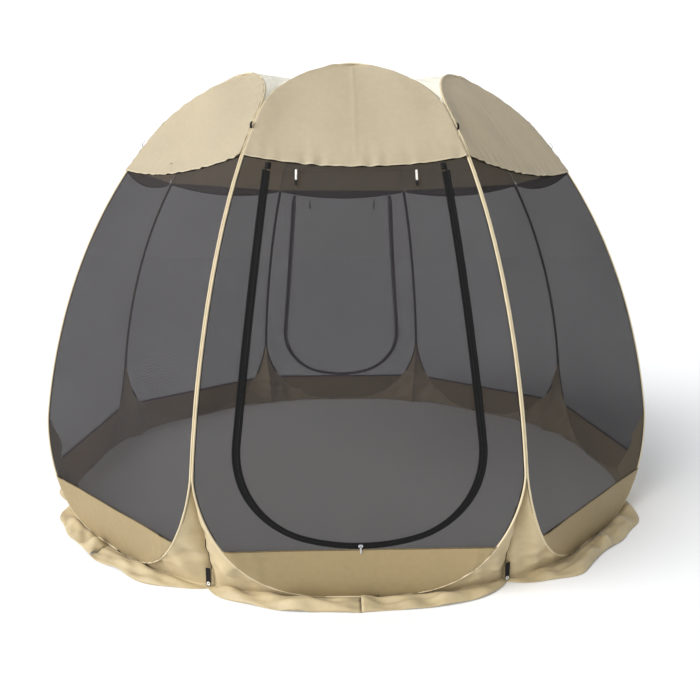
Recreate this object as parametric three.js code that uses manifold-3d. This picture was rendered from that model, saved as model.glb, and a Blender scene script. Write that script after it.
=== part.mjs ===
// Eight-sided pop-up screen house: eight sprung hoops in fabric sleeves, each filled by a canopy panel,
// a mesh wall and a bottom band, joined by a roof crown and a ground skirt, with a zipped door at the
// front and at the rear.
// Millimetres, +Z up. The origin is on the ground under the middle of the roof; the front door faces -Y.
import * as THREE from "three";
import { mergeVertices } from "three/addons/utils/BufferGeometryUtils.js";
import Module from "manifold-3d";

const wasm = await Module();
wasm.setup();

// ---- Driving dimensions ----

const SIDE_NAMES = ["front", "front_right", "right", "rear_right", "rear", "rear_left", "left", "front_left"];
const SIDE_ANGLE = (2 * Math.PI) / SIDE_NAMES.length;
const SEAM_ANGLE = SIDE_ANGLE / 2;
const DOOR_SIDES = ["front", "rear"];

// The wall's curve from the foot to the head of a panel: distance out from the middle, and height.
const FOOT = [1667, 4];
const FOOT_HANDLE = [1711, 27];
const HEAD_HANDLE = [1723, 1541];
const HEAD = [784, 2332];

const LOWER_SPLIT_Z = 533; // neighbouring hoops touch between these two heights
const UPPER_SPLIT_Z = 2052;
const FOOT_ROUND = { rise: 1.5, width: 3.09 }; // how square the hoop's foot is
const HEAD_ROUND = { rise: 2.41, width: 1.59 }; // how round its head is

const SLEEVE_R = 7; // the sleeve with the sprung steel inside it
const SLEEVE_STEPS = 44;
const SLEEVE_FACETS = 6;
const SLEEVE_CLEAR = 5; // from the sleeve to the sheets in it, whose edges are straight between rows
const GAP = 0.5; // between sewn pieces, which would touch on the real object

const MESH_T = 2;
const CLOTH_T = 3;
const TAPE_T = 1.8;
const LAYER = 0.4; // between a sheet and the one laid on it
const BAND_TOP_Z = 226;
const BAND_LAP = 8; // how far the mesh runs down behind the band
const HEM_Z = 1792; // the canopy's lower edge, lowest in the middle of a side
const HEM_RISE = 50; // and this much higher at the seams
const HEM_HALF = 500;
const HEM_OVERRUN = 1.2; // the hem's curve is drawn this much wider, past the sleeves
const CANOPY_LAP = 60; // how far the mesh runs up behind the canopy
const TIP = 6; // a sheet's rounded end stops this far short of its tip
const CANOPY_STEPS = 12;
const MESH_STEPS = 14;
const BAND_STEPS = 7;

// The door: two straight sides, two corner arcs and one wide arc along the bottom.
const DOOR_HINGE_Z = 1778;
const DOOR_BOTTOM_Z = 240;
const BOTTOM_ARC_R = 850;
const BOTTOM_ARC_HALF = THREE.MathUtils.degToRad(15.7);
const CORNER_R = 370;
const SIDE_LEAN = THREE.MathUtils.degToRad(5.7);
const HINGE_GAP = 3;
const ZIP_TAPE_W = 13;
const ZIP_GAP = 0.4;

const SKIRT_T = 3;
const RING_COLUMNS = 12; // for each side, in the skirt and the crown
const SKIRT_EDGE_R = 1795;
const SKIRT_NOTCH = 85; // the scalloped edge comes in this far at each corner
const CORNER_TUCK = 142; // the corner web leans in this far from its top to the ground
const SKIRT_STEP = 0.2; // least height of the web over the skirt, under the middle of a hoop
const SCALLOP_POWER = 6;
const WEB_CLEAR = 9; // from a hoop's outer edge to the web or the crown, whose edges are straight between columns
const WEB_DROP = 7; // and from the underside of a hoop's foot
const CROWN_T = 3;
const CROWN_SAG = 8;
const CROWN_BORDER = 28; // from the hoops' heads to the level octagon

const TAB_W = 24;
const TAB_L = 84;
const TAB_T = 3;
const TAB_R = 1698; // distance of the hanging tab from the middle
const TAB_TOP_Z = 92;
const TAB_EYE_R = 6;

const TIE_U = 262; // from the middle of the door to each tie
const TIE_L = 46;
const TIE_W = 9;
const TIE_T = 1.2;
const TIE_SLOT_R = 2.2;
const TIE_D = 8.5; // how far a tie lies out from the door
const TIE_DROP = 6; // from the door's hinge line to the top of a tie
const TOGGLE_W = 13;
const TOGGLE_L = 32;
const TOGGLE_T = 3;
const TOGGLE_BAR = 2; // height of the bar that the strap goes round
const TOGGLE_SLOT_H = 3.4;
const TOGGLE_CLEAR = 0.6; // from the strap's edges to the ends of the slot

const SLIDER_W = 20;
const SLIDER_H = 13;
const SLIDER_T = 3.2;
const SLIDER_D = 4.2; // clear of both tapes, in front of them
const PIN_R = 0.9;
const PIN_FACETS = 8;
const PIN_D = 6.2; // from the slider's back face
const PIN_DROP = 4;
const KNUCKLE_R = 2.5;
const KNUCKLE_HOLE_R = 1.3;
const KNUCKLE_W = 7;
const PULL_L = 26;
const PULL_T = 1.2;
const LEG_W = 1.8;
const LEG_SPAN = KNUCKLE_W + LEG_W + 1;

// ---- Materials ----

const COLOURS = {
  canopy: 0xc5b697,
  mesh: 0x4a484a,
  band: 0xb0a078,
  sleeve: 0xcfc0a0,
  skirt: 0xb7a985,
  crown: 0xd8d2bd,
  zip: 0x1b1b1c,
  metal: 0xb9bbbd,
  webbing: 0x161617,
  toggle: 0x151515,
  elastic: 0xe6e3da,
};

function material(slot) {
  const metal = slot === "metal";
  return new THREE.MeshStandardMaterial({
    color: COLOURS[slot],
    roughness: metal ? 0.35 : 0.85,
    metalness: metal ? 1 : 0,
  });
}

// ---- The panel's own space: u across, s up along the wall's curve, d out from it ----

const profile = new THREE.CubicBezierCurve(
  new THREE.Vector2(...FOOT),
  new THREE.Vector2(...FOOT_HANDLE),
  new THREE.Vector2(...HEAD_HANDLE),
  new THREE.Vector2(...HEAD),
);
const PANEL_L = profile.getLength();

const HALVINGS = 40;

// Halves the range until f changes sign, from below 0 at the low end to above 0 at the high end.
function solve(f, low, high) {
  for (let i = 0; i < HALVINGS; i++) {
    const middle = (low + high) / 2;
    if (f(middle) < 0) low = middle;
    else high = middle;
  }
  return (low + high) / 2;
}

function profileAt(s) {
  const share = THREE.MathUtils.clamp(s / PANEL_L, 0, 1);
  const point = profile.getPointAt(share);
  const along = profile.getTangentAt(share);
  return { out: point.x, z: point.y, along };
}

function lengthAtHeight(z) {
  return solve((s) => profileAt(s).z - z, 0, PANEL_L);
}

const LOWER_SPLIT = lengthAtHeight(LOWER_SPLIT_Z);
const UPPER_SPLIT = lengthAtHeight(UPPER_SPLIT_Z);

function outwards(angle) {
  return new THREE.Vector3(Math.sin(angle), -Math.cos(angle), 0);
}

function across(angle) {
  return new THREE.Vector3(Math.cos(angle), Math.sin(angle), 0);
}

// The frame of a point on a panel: its place, and the directions across, up along it and out from it.
function panelFrame(angle, u, s, d) {
  const { out, z, along } = profileAt(s);
  const side = across(angle);
  const up = outwards(angle).multiplyScalar(along.x).setZ(along.y);
  const normal = new THREE.Vector3().crossVectors(side, up);
  const place = outwards(angle).multiplyScalar(out).setZ(z);
  place.addScaledVector(side, u).addScaledVector(normal, d);
  return { place, side, up, normal };
}

function putOnPanel(mesh, angle, u, s, d) {
  const { place, side, up, normal } = panelFrame(angle, u, s, d);
  mesh.position.copy(place);
  mesh.quaternion.setFromRotationMatrix(new THREE.Matrix4().makeBasis(side, up, normal));
  return mesh;
}

// ---- The hoop's outline ----

// Half the hoop's width at a length up the panel: up to the seams, and rounded off at foot and head.
function halfWidth(s) {
  const foot = THREE.MathUtils.clamp((LOWER_SPLIT - s) / LOWER_SPLIT, 0, 1);
  const head = THREE.MathUtils.clamp((s - UPPER_SPLIT) / (PANEL_L - UPPER_SPLIT), 0, 1);
  const footShare = (1 - foot ** FOOT_ROUND.rise) ** (1 / FOOT_ROUND.width);
  const headShare = (1 - head ** HEAD_ROUND.rise) ** (1 / HEAD_ROUND.width);
  return profileAt(s).out * Math.tan(SEAM_ANGLE) * footShare * headShare;
}

class HoopOutline extends THREE.Curve {
  getPoint(t, target = new THREE.Vector2()) {
    const turn = 2 * Math.PI * t;
    const s = (PANEL_L / 2) * (1 - Math.cos(turn));
    return target.set(Math.sign(Math.sin(turn)) * halfWidth(s), s);
  }
}

const outline = new HoopOutline();

// The outline moved in by a distance, within the panel.
function insetOutline(t, distance) {
  const point = outline.getPoint(t);
  const along = outline.getTangent(t);
  return new THREE.Vector2(point.x - along.y * distance, point.y + along.x * distance);
}

class SleeveLine extends THREE.Curve {
  constructor(angle) {
    super();
    this.angle = angle;
  }
  getPoint(t, target = new THREE.Vector3()) {
    const { x, y } = insetOutline(t % 1, SLEEVE_R + GAP / 2);
    return target.copy(panelFrame(this.angle, x, y, 0).place);
  }
  // Steps follow the outline's own turn, which sets them closer together round the foot and the head.
  getUtoTmapping(share) {
    return share;
  }
}

function hoop(angle) {
  return new THREE.TubeGeometry(new SleeveLine(angle), SLEEVE_STEPS, SLEEVE_R, SLEEVE_FACETS, true);
}

// ---- Sheets that fill a hoop ----

const SHEET_INSET = 2 * SLEEVE_R + SLEEVE_CLEAR;

// Half the width between the sleeves at a length up the panel.
function sheetHalfWidth(s) {
  const t = solve((share) => insetOutline(share, SHEET_INSET).y - s, 0, 0.5);
  return insetOutline(t, SHEET_INSET).x;
}

// Rows of a sheet from one length up the panel to another, closer together towards a rounded end.
function sheetRows(from, to, count, ease) {
  return Array.from({ length: count + 1 }, (_, i) => {
    const s = THREE.MathUtils.lerp(from, to, ease(i / count));
    return { s, half: sheetHalfWidth(s) };
  });
}

const even = (share) => share;
const closeAtStart = (share) => 1 - Math.cos((share * Math.PI) / 2);
const closeAtEnd = (share) => Math.sin((share * Math.PI) / 2);

// A sheet between two faces, inner and outer, that is straight across and follows the wall's curve up.
function sheet(angle, rows, inner, outer) {
  const last = rows.length - 1;
  const geometry = new THREE.BoxGeometry(2, 2, 2, 1, last, 1);
  const position = geometry.getAttribute("position");
  for (let i = 0; i < position.count; i++) {
    const row = rows[Math.round(((position.getY(i) + 1) / 2) * last)];
    const d = position.getZ(i) > 0 ? outer : inner;
    const { place } = panelFrame(angle, position.getX(i) * row.half, row.s, d);
    position.setXYZ(i, place.x, place.y, place.z);
  }
  return geometry;
}

// ---- Cutting and joining ----

const WELD = 1e-3; // corners closer than this are one

function toSolid(geometry) {
  const bare = geometry.clone();
  bare.deleteAttribute("normal");
  bare.deleteAttribute("uv");
  const merged = mergeVertices(bare, WELD);
  return new wasm.Manifold(
    new wasm.Mesh({
      numProp: 3,
      vertProperties: new Float32Array(merged.getAttribute("position").array),
      triVerts: new Uint32Array(merged.index.array),
    }),
  );
}

function toGeometry(solid) {
  const mesh = solid.getMesh();
  const geometry = new THREE.BufferGeometry();
  geometry.setAttribute("position", new THREE.BufferAttribute(mesh.vertProperties, 3));
  geometry.setIndex(new THREE.BufferAttribute(mesh.triVerts, 1));
  return geometry;
}

function subtract(geometry, cutter) {
  return toGeometry(toSolid(geometry).subtract(toSolid(cutter)));
}

function intersect(geometry, other) {
  return toGeometry(toSolid(geometry).intersect(toSolid(other)));
}

function join(first, ...others) {
  return toGeometry(others.reduce((made, next) => made.add(toSolid(next)), toSolid(first)));
}

const ARC_STEPS = 5;
const CUTTER_ARC_STEPS = 9;

function extrude(shape, depth, curveSegments = ARC_STEPS) {
  return new THREE.ExtrudeGeometry(shape, { depth, bevelEnabled: false, curveSegments });
}

// A shape drawn across and up, run level through the wall of a side from inside to outside.
const CUTTER_IN = 700;
const CUTTER_L = 1400;

function cutter(angle, shape) {
  const geometry = extrude(shape, CUTTER_L, CUTTER_ARC_STEPS);
  const level = new THREE.Matrix4().makeBasis(across(angle), new THREE.Vector3(0, 0, 1), outwards(angle));
  geometry.applyMatrix4(level.setPosition(outwards(angle).multiplyScalar(CUTTER_IN)));
  return geometry;
}

// ---- The door's outline, grown outwards by a distance, up to a height ----

function doorShape(grow, topZ) {
  const reach = BOTTOM_ARC_R - CORNER_R;
  const arcZ = DOOR_BOTTOM_Z + BOTTOM_ARC_R;
  const cornerU = reach * Math.sin(BOTTOM_ARC_HALF);
  const cornerZ = arcZ - reach * Math.cos(BOTTOM_ARC_HALF);
  const corner = CORNER_R + grow;
  const sideU = cornerU + corner * Math.cos(SIDE_LEAN);
  const sideZ = cornerZ + corner * Math.sin(SIDE_LEAN);
  const topU = sideU - (topZ - sideZ) * Math.tan(SIDE_LEAN);
  const down = 1.5 * Math.PI;
  const shape = new THREE.Shape();
  shape.moveTo(-topU, topZ);
  shape.lineTo(-sideU, sideZ);
  shape.absarc(-cornerU, cornerZ, corner, Math.PI - SIDE_LEAN, down - BOTTOM_ARC_HALF, false);
  shape.absarc(0, arcZ, BOTTOM_ARC_R + grow, down - BOTTOM_ARC_HALF, down + BOTTOM_ARC_HALF, false);
  shape.absarc(cornerU, cornerZ, corner, down + BOTTOM_ARC_HALF, 2 * Math.PI + SIDE_LEAN, false);
  shape.lineTo(topU, topZ);
  return shape;
}

// Everything below the canopy's sagging edge.
function belowHemShape() {
  const halfWidthOut = HEM_OVERRUN * HEM_HALF;
  const endZ = HEM_Z + HEM_RISE * (halfWidthOut / HEM_HALF) ** 2;
  const shape = new THREE.Shape();
  shape.moveTo(-halfWidthOut, HEM_Z - 2 * HEM_RISE);
  shape.lineTo(halfWidthOut, HEM_Z - 2 * HEM_RISE);
  shape.lineTo(halfWidthOut, endZ);
  shape.quadraticCurveTo(0, 2 * HEM_Z - endZ, -halfWidthOut, endZ);
  return shape;
}

// ---- Panels ----

const MESH_INNER = -MESH_T / 2;
const MESH_OUTER = MESH_T / 2;
const COVER_INNER = MESH_OUTER + LAYER;
const COVER_OUTER = COVER_INNER + CLOTH_T;
const TAPE_OUTER = COVER_INNER + TAPE_T;

const FOOT_END = SHEET_INSET + TIP;
const HEAD_END = PANEL_L - SHEET_INSET - TIP;
const MESH_FROM = lengthAtHeight(BAND_TOP_Z - BAND_LAP);
const MESH_TO = lengthAtHeight(HEM_Z + CANOPY_LAP);

const canopyRows = sheetRows(lengthAtHeight(HEM_Z - GAP), HEAD_END, CANOPY_STEPS, closeAtEnd);
const meshRows = sheetRows(MESH_FROM, MESH_TO, MESH_STEPS, even);
const bandRows = sheetRows(FOOT_END, lengthAtHeight(BAND_TOP_Z), BAND_STEPS, closeAtStart);

function canopyPanel(angle) {
  return subtract(sheet(angle, canopyRows, COVER_INNER, COVER_OUTER), cutter(angle, belowHemShape()));
}

function bottomBand(angle) {
  return sheet(angle, bandRows, COVER_INNER, COVER_OUTER);
}

function plainWall(angle) {
  return sheet(angle, meshRows, MESH_INNER, MESH_OUTER);
}

function doorWall(angle) {
  return subtract(plainWall(angle), cutter(angle, doorShape(GAP, DOOR_HINGE_Z)));
}

// ---- Door: leaf, the two zip tapes, slider and pull ----

const LEAF_TOP_Z = DOOR_HINGE_Z - HINGE_GAP;
const OPEN_TOP_Z = HEM_Z + HEM_RISE;

function doorLeaf(angle) {
  return intersect(plainWall(angle), cutter(angle, doorShape(-GAP, LEAF_TOP_Z)));
}

function zipTape(angle, outerGrow, innerGrow, topZ) {
  const layer = sheet(angle, meshRows, COVER_INNER, TAPE_OUTER);
  const whole = intersect(layer, cutter(angle, doorShape(outerGrow, topZ)));
  return subtract(whole, cutter(angle, doorShape(innerGrow, OPEN_TOP_Z)));
}

function wallTape(angle) {
  return zipTape(angle, ZIP_TAPE_W, ZIP_GAP / 2, DOOR_HINGE_Z);
}

function leafTape(angle) {
  return zipTape(angle, -ZIP_GAP / 2, -ZIP_TAPE_W, LEAF_TOP_Z);
}

// A bar across the front of the slider, on two legs, that the pull hangs on.
function slider() {
  const round = SLIDER_H / 2;
  const shape = new THREE.Shape();
  shape.absarc(SLIDER_W / 2 - round, 0, round, -Math.PI / 2, Math.PI / 2, false);
  shape.absarc(round - SLIDER_W / 2, 0, round, Math.PI / 2, 1.5 * Math.PI, false);
  const plate = extrude(shape, SLIDER_T);
  const pin = new THREE.CylinderGeometry(PIN_R, PIN_R, LEG_SPAN + LEG_W, PIN_FACETS);
  pin.rotateZ(Math.PI / 2).translate(0, -PIN_DROP, PIN_D);
  const legs = [-1, 1].map((side) => {
    const leg = new THREE.BoxGeometry(LEG_W, 2 * PIN_R, PIN_D);
    return leg.translate((side * LEG_SPAN) / 2, -PIN_DROP, PIN_D / 2 + PIN_R);
  });
  return join(plate, pin, ...legs);
}

// A profile drawn out from the wall (x) and up (y), run across by a width and centred.
function runAcross(shape, width) {
  return extrude(shape, width).translate(0, 0, -width / 2).rotateY(-Math.PI / 2);
}

function pull() {
  const half = PULL_T / 2;
  const open = Math.asin(half / KNUCKLE_R);
  const down = -Math.PI / 2;
  const shape = new THREE.Shape();
  shape.absarc(0, 0, KNUCKLE_R, down + open, down - open + 2 * Math.PI, false);
  shape.lineTo(-half, -PULL_L);
  shape.lineTo(half, -PULL_L);
  shape.holes.push(new THREE.Path().absarc(0, 0, KNUCKLE_HOLE_R, 0, 2 * Math.PI, true));
  return runAcross(shape, KNUCKLE_W);
}

// ---- Ties that hold a rolled door: a strap loop and the toggle in it ----

// Two half rounds a length apart, at a radius from the middle of the slot.
function slotPath(path, radius) {
  path.absarc(0, 0, radius, 0, Math.PI, false);
  path.absarc(0, -TIE_L, radius, Math.PI, 2 * Math.PI, false);
  return path;
}

function tieLoop() {
  const shape = slotPath(new THREE.Shape(), TIE_SLOT_R + TIE_T);
  shape.holes.push(slotPath(new THREE.Path(), TIE_SLOT_R));
  return runAcross(shape, TIE_W);
}

// The loop's foot goes through a slot near the toggle's top, round the bar above it.
function toggle() {
  const half = TOGGLE_W / 2;
  const bar = TOGGLE_BAR / 2;
  const slot = TIE_W / 2 + TOGGLE_CLEAR;
  const slotFoot = -bar - TOGGLE_SLOT_H;
  const shape = new THREE.Shape();
  shape.moveTo(half, bar);
  shape.lineTo(-half, bar);
  shape.absarc(0, half + bar - TOGGLE_L, half, Math.PI, 2 * Math.PI, false);
  const hole = new THREE.Path();
  hole.moveTo(-slot, -bar);
  hole.lineTo(slot, -bar);
  hole.lineTo(slot, slotFoot);
  hole.lineTo(-slot, slotFoot);
  shape.holes.push(hole);
  return extrude(shape, TOGGLE_T).translate(0, 0, -TOGGLE_T / 2);
}

// ---- Stake tab: webbing with an eye at its foot, hung from the corner web ----

function stakeTab() {
  const half = TAB_W / 2;
  const shape = new THREE.Shape();
  shape.moveTo(half, 0);
  shape.lineTo(-half, 0);
  shape.absarc(0, half - TAB_L, half, Math.PI, 2 * Math.PI, false);
  shape.holes.push(new THREE.Path().absarc(0, half - TAB_L, TAB_EYE_R, 0, 2 * Math.PI, true));
  return extrude(shape, TAB_T).translate(0, 0, -TAB_T / 2);
}

// ---- Roof crown and ground skirt, worked round the eight sides ----

// How far a direction is from the middle of the nearest side, 0 to SEAM_ANGLE.
function offMiddle(angle) {
  const turns = angle / SIDE_ANGLE;
  return Math.abs(turns - Math.round(turns)) * SIDE_ANGLE;
}

// Columns run from corner to corner of each side, closest together at the corners.
function columnAngle(column) {
  const side = Math.floor(column / RING_COLUMNS);
  const share = (2 * (column % RING_COLUMNS)) / RING_COLUMNS - 1;
  return side * SIDE_ANGLE + SEAM_ANGLE * Math.sin((share * Math.PI) / 2);
}

// A lathed ring whose section changes with direction: each point is a distance out and a height.
function variedRing(section) {
  const columns = RING_COLUMNS * SIDE_NAMES.length;
  const rows = section(0).length;
  const placeholder = Array.from({ length: rows }, () => new THREE.Vector2());
  const geometry = new THREE.LatheGeometry(placeholder, columns);
  const position = geometry.getAttribute("position");
  for (let column = 0; column <= columns; column++) {
    const angle = columnAngle(column);
    section(offMiddle(angle)).forEach(([out, z], row) => {
      const place = outwards(angle).multiplyScalar(out).setZ(z);
      position.setXYZ(column * rows + row, place.x, place.y, place.z);
    });
  }
  return geometry;
}

// Up each corner, between the hoops, and out along the ground to the scalloped edge.
function skirtSection(angle) {
  const tan = Math.tan(angle);
  const s = solve((at) => halfWidth(at) + WEB_CLEAR - profileAt(at).out * tan, 0, LOWER_SPLIT);
  const { out, z } = profileAt(s);
  const cornerShare = angle / SEAM_ANGLE;
  const half = SKIRT_T / 2;
  const topR = out / Math.cos(angle);
  const topZ = Math.max(SKIRT_T + SKIRT_STEP, z - WEB_DROP);
  const footR = topR - CORNER_TUCK * cornerShare ** 2;
  const edgeR = SKIRT_EDGE_R - SKIRT_NOTCH * cornerShare ** SCALLOP_POWER;
  return [
    [topR - half, topZ],
    [footR - half, 0],
    [edgeR, 0],
    [edgeR, SKIRT_T],
    [footR + half, SKIRT_T],
    [topR + half, topZ],
    [topR - half, topZ],
  ];
}

// A level octagon between the hoops' heads, and a sloping gusset down to each upper split.
function crownSection(angle) {
  const tan = Math.tan(angle);
  const s = solve((at) => profileAt(at).out * tan - halfWidth(at) - WEB_CLEAR, UPPER_SPLIT, PANEL_L);
  const { out, z } = profileAt(s);
  const edgeR = out / Math.cos(angle) - WEB_CLEAR;
  const flatR = ((HEAD[0] - CROWN_BORDER) * Math.cos(SEAM_ANGLE)) / Math.cos(SEAM_ANGLE - angle);
  const half = CROWN_T / 2;
  return [
    [0, HEAD[1] - CROWN_SAG - half],
    [flatR, HEAD[1] - half],
    [edgeR, z - half],
    [edgeR, z + half],
    [flatR, HEAD[1] + half],
    [0, HEAD[1] - CROWN_SAG + half],
  ];
}

// ---- Assembly ----

const house = new THREE.Group();
house.name = "screen_house";

function add(name, slot, geometry) {
  const mesh = new THREE.Mesh(geometry, material(slot));
  mesh.name = name;
  house.add(mesh);
  return mesh;
}

// Stands a small piece upright, facing out in a direction.
function putUpright(mesh, angle, place) {
  const upright = new THREE.Matrix4().makeBasis(across(angle), new THREE.Vector3(0, 0, 1), outwards(angle));
  mesh.quaternion.setFromRotationMatrix(upright);
  mesh.position.copy(place);
  return mesh;
}

function addDoor(side, angle) {
  add(`${side}_door_leaf`, "mesh", doorLeaf(angle));
  add(`${side}_zip_wall_tape`, "zip", wallTape(angle));
  add(`${side}_zip_door_tape`, "zip", leafTape(angle));
  const zipS = lengthAtHeight(DOOR_BOTTOM_Z);
  putOnPanel(add(`${side}_zip_slider`, "metal", slider()), angle, 0, zipS, SLIDER_D);
  const { place, up } = panelFrame(angle, 0, zipS, SLIDER_D + PIN_D);
  putUpright(add(`${side}_zip_pull`, "metal", pull()), angle, place.addScaledVector(up, -PIN_DROP));
  const tieS = lengthAtHeight(DOOR_HINGE_Z) - TIE_DROP;
  for (const [hand, sign] of [["left", -1], ["right", 1]]) {
    const loop = add(`${side}_door_${hand}_tie_loop`, "elastic", tieLoop());
    putOnPanel(loop, angle, sign * TIE_U, tieS, TIE_D);
    const barrel = add(`${side}_door_${hand}_tie_toggle`, "toggle", toggle());
    putOnPanel(barrel, angle, sign * TIE_U, tieS, TIE_D);
    barrel.translateY(-TIE_L);
  }
}

SIDE_NAMES.forEach((side, i) => {
  const angle = i * SIDE_ANGLE;
  const hasDoor = DOOR_SIDES.includes(side);
  add(`${side}_hoop`, "sleeve", hoop(angle));
  add(`${side}_canopy_panel`, "canopy", canopyPanel(angle));
  add(`${side}_mesh_wall`, "mesh", hasDoor ? doorWall(angle) : plainWall(angle));
  add(`${side}_bottom_band`, "band", bottomBand(angle));
  if (hasDoor) addDoor(side, angle);
  const corner = angle + SEAM_ANGLE;
  const tabPlace = outwards(corner).multiplyScalar(TAB_R).setZ(TAB_TOP_Z);
  putUpright(add(`stake_tab_${i + 1}`, "webbing", stakeTab()), corner, tabPlace);
});

add("roof_crown", "crown", variedRing(crownSection));
add("ground_skirt", "skirt", variedRing(skirtSection));

export default house;
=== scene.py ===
"""Looks of the eight-sided pop-up screen house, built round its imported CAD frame.

Metres, +Z up, the origin on the ground under the roof's middle, and the front door faces -Y.
A panel's own space is u across, s up along the wall's curve from its foot, and d out from it.
"""

import math

import bpy
import numpy as np
from mathutils import Matrix


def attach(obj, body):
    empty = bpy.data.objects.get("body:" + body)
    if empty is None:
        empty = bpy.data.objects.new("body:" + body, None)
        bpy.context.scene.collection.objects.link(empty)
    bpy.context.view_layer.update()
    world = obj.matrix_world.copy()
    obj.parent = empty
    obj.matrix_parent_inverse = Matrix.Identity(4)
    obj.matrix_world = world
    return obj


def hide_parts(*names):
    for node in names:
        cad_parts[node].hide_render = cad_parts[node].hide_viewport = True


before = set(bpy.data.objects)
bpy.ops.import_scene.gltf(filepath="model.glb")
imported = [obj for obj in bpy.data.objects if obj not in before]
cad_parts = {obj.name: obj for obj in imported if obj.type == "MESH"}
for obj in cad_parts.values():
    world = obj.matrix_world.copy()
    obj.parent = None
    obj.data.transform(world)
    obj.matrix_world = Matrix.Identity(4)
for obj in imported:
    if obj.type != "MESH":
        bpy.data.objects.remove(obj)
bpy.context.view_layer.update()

# ---- Driving dimensions, as in the CAD source ----

SIDES = ("front", "front_right", "right", "rear_right", "rear", "rear_left", "left", "front_left")
SIDE_ANGLE = math.tau / len(SIDES)
SEAM_ANGLE = SIDE_ANGLE / 2
DOOR_SIDES = ("front", "rear")

FOOT = (1.667, 0.004)
FOOT_HANDLE = (1.711, 0.027)
HEAD_HANDLE = (1.723, 1.541)
HEAD = (0.784, 2.332)
LOWER_SPLIT_Z = 0.533
UPPER_SPLIT_Z = 2.052
FOOT_RISE, FOOT_WIDTH = 1.5, 3.09
HEAD_RISE, HEAD_WIDTH = 2.41, 1.59

SLEEVE_R = 0.0047
SLEEVE_LINE = 0.0050  # from the hoop's outline to the middle of its sleeve
BAND_TOP_Z = 0.226
BAND_LAP = 0.008
HEM_Z = 1.792
HEM_RISE = 0.050
HEM_HALF = 0.500
CANOPY_LAP = 0.060

HINGE_Z = 1.778
DOOR_BOTTOM_Z = 0.240
BOTTOM_ARC_R = 0.850
BOTTOM_ARC_HALF = math.radians(15.7)
CORNER_R = 0.370
SIDE_LEAN = math.radians(5.7)
ZIP_TAPE_W = 0.013
GUARD_W = 0.010  # the doubled tape outside the zip
GUARD_TAPER = 0.25  # the height above the door's foot over which the doubled tape grows to its full width
TOOTH = (0.0034, 0.0026, 0.0012)
TOOTH_IN = 0.0016
TOOTH_D = 0.0035
HINGE_CLEAR = 0.004  # bare stretch of the header's zip above the hinge line

SKIRT_EDGE_R = 1.795
SKIRT_NOTCH = 0.085
SCALLOP_POWER = 6
CORNER_TUCK = 0.142
CROWN_SAG = 0.008
CROWN_BORDER = 0.028
CROWN_SIDE_DIP = 0.040  # the crown hangs this much lower midway between the hoops' heads

TAB_W = 0.024
TAB_L = 0.084
TAB_T = 0.003
TAB_R = 1.698
TAB_TOP_Z = 0.092
TAB_EYE_R = 0.006

TIE_U = 0.262
TIE_L = 0.046
TIE_W = 0.009
TIE_T = 0.0012
TIE_SLOT_R = 0.0022
TIE_D = 0.0085
TIE_DROP = 0.006
TOGGLE_W = 0.013
TOGGLE_L = 0.032
TOGGLE_T = 0.003
TOGGLE_BAR = 0.002
TOGGLE_SLOT_H = 0.0034
TOGGLE_CLEAR = 0.0006

# ---- How the cloth lies: H is how high its folds stand and L how far apart they are ----

CLOTH_T = 0.001
NET_T = 0.0006
TAPE_T = 0.0012
CANOPY_D = 0.0034
BAND_D = 0.0030
CANOPY_BOW = 0.010  # the stretched roof cloth is drawn in this far between its hoops
TAPE_D = 0.0023
HUG = -0.004  # the webs and crown run this far under the sleeves that they are sewn to
GUY_LOOP_Z = 1.985
HEM_T = 0.0006
TRIM_T = 0.0008
SEAM_T = 0.0008
STITCH_PITCH = 0.008
STITCH_IN = 0.010
STITCH_D = 0.0020

CANOPY_WAVE_H, CANOPY_WAVE_L = 0.006, 0.36
HEM_PUCKER_H, HEM_PUCKER_L, HEM_PUCKER_FADE = 0.0036, 0.05, 0.05
SEAM_GATHER_H, SEAM_GATHER_L, SEAM_GATHER_FADE = 0.0022, 0.05, 0.05
MIDDLE_CREASE_H, MIDDLE_CREASE_HALF = 0.0016, 0.009
BAND_FOLD_H, BAND_FOLD_L = 0.0030, 0.07
BAND_GATHER_H, BAND_GATHER_L, BAND_GATHER_FADE = 0.0006, 0.045, 0.03
BAND_WAVE_H, BAND_WAVE_L = 0.0012, 0.35
NET_WAVE_H, NET_WAVE_L = 0.0007, 0.5
SLEEVE_GATHER, SLEEVE_GATHER_L = 0.07, 0.05
HOOP_ROUND = 5.6  # about the length of a sleeve all the way round

GROUND_CLEAR = 0.001
SKIRT_MEAN_R = 1.7
FOOT_OUT = 0.012
WEB_FOLD_H, WEB_FOLD_L = 0.020, 0.13
WEB_CREASE_H, WEB_CREASE_L = 0.010, 0.08
WEB_ROUNDING, WEB_ROUNDING_HALF = 0.014, math.radians(1.8)
CALM_BY_TAB, CALM_HALF, CALM_Z = 0.85, math.radians(2.5), 0.13
SWELL_H, SWELL_L = 0.017, 0.17
EDGE_LIFT_H, EDGE_LIFT_L = 0.007, 0.16
FLAP_CREASE_H, FLAP_CREASE_L = 0.0055, 0.06
CORNER_SEAM_HALF = 0.0016
CORNER_SEAM_Z = (0.07, 0.24)
FRILL_H, FRILL_L = 0.007, 0.06
CROWN_GATHER_H, CROWN_GATHER_L = 0.0025, 0.03
CROWN_WAVE_H, CROWN_WAVE_L = 0.004, 0.35

# ---- How finely lines and sheets are drawn ----

CURVE_STEPS = 4001
LINE_STEPS = 3000
SPLIT_STEPS = 2000
DOOR_STEPS = 401
NUDGE = 0.001  # a short step that gives a direction on a panel

# ---- Camera and light ----

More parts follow.
